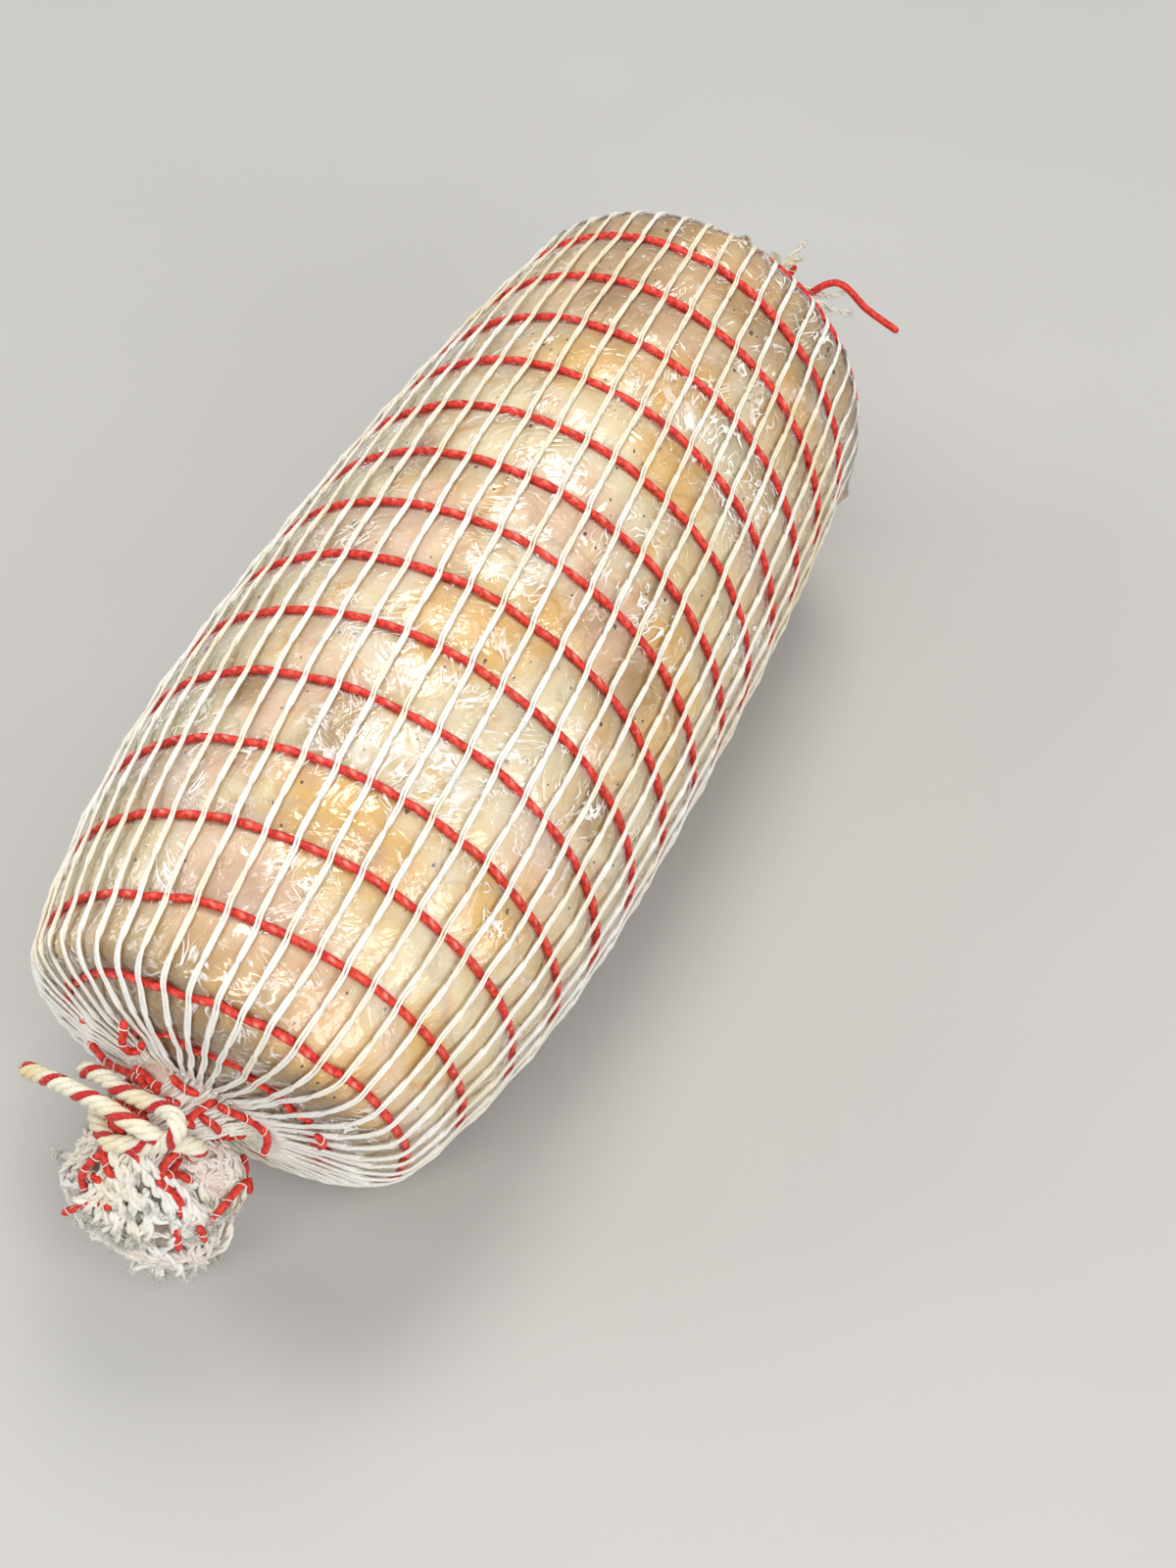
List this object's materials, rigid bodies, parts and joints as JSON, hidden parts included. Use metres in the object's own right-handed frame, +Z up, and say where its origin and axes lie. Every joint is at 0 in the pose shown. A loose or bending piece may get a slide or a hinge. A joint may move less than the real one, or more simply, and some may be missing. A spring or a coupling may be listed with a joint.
{
  "type": "chicken roulade",
  "caption": "Film-wrapped chicken roulade lying on its side in a knitted elastic net, its near end tied with twine and finished in a tuft.",
  "frame": {"origin": "on the table, under the middle of the roll's length and under its axis", "axes": "+X along the roll from the end tied with twine to the other end; +Z up; +Y to the side that is on the left in the picture"},
  "size_m": [0.2751, 0.1078, 0.1039],
  "materials": {
    "wrapped_meat": "pale cream meat with yellow fat and dark pepper specks, under clear crinkled film",
    "net_yarn": "warm white knitted cotton yarn",
    "red_elastic": "satin tomato-red elastic cord",
    "twine": "cream and red twisted cotton twine, slightly fuzzy"
  },
  "bodies": {
    "root": {"wrapped_meat": "wrapped_meat", "strand_01": "net_yarn", "strand_02": "net_yarn", "strand_03": "net_yarn", "strand_04": "net_yarn", "strand_05": "net_yarn", "strand_06": "net_yarn", "strand_07": "net_yarn", "strand_08": "net_yarn", "strand_09": "net_yarn", "strand_10": "net_yarn", "strand_11": "net_yarn", "strand_12": "net_yarn", "strand_13": "net_yarn", "strand_14": "net_yarn", "strand_15": "net_yarn", "strand_16": "net_yarn", "strand_17": "net_yarn", "strand_18": "net_yarn", "strand_19": "net_yarn", "strand_20": "net_yarn", "strand_21": "net_yarn", "strand_22": "net_yarn", "strand_23": "net_yarn", "strand_24": "net_yarn", "strand_25": "net_yarn", "strand_26": "net_yarn", "strand_27": "net_yarn", "strand_28": "net_yarn", "strand_29": "net_yarn", "strand_30": "net_yarn", "strand_31": "net_yarn", "strand_32": "net_yarn", "strand_33": "net_yarn", "strand_34": "net_yarn", "strand_35": "net_yarn", "strand_36": "net_yarn", "strand_37": "net_yarn", "strand_38": "net_yarn", "strand_39": "net_yarn", "strand_40": "net_yarn", "strand_41": "net_yarn", "strand_42": "net_yarn", "strand_43": "net_yarn", "strand_44": "net_yarn", "strand_45": "net_yarn", "strand_46": "net_yarn", "strand_47": "net_yarn", "strand_48": "net_yarn", "near_net_end": "net_yarn", "far_net_end": "net_yarn", "elastic": "red_elastic", "elastic_tail": "red_elastic", "twine": "twine"}
  },
  "joints": []
}
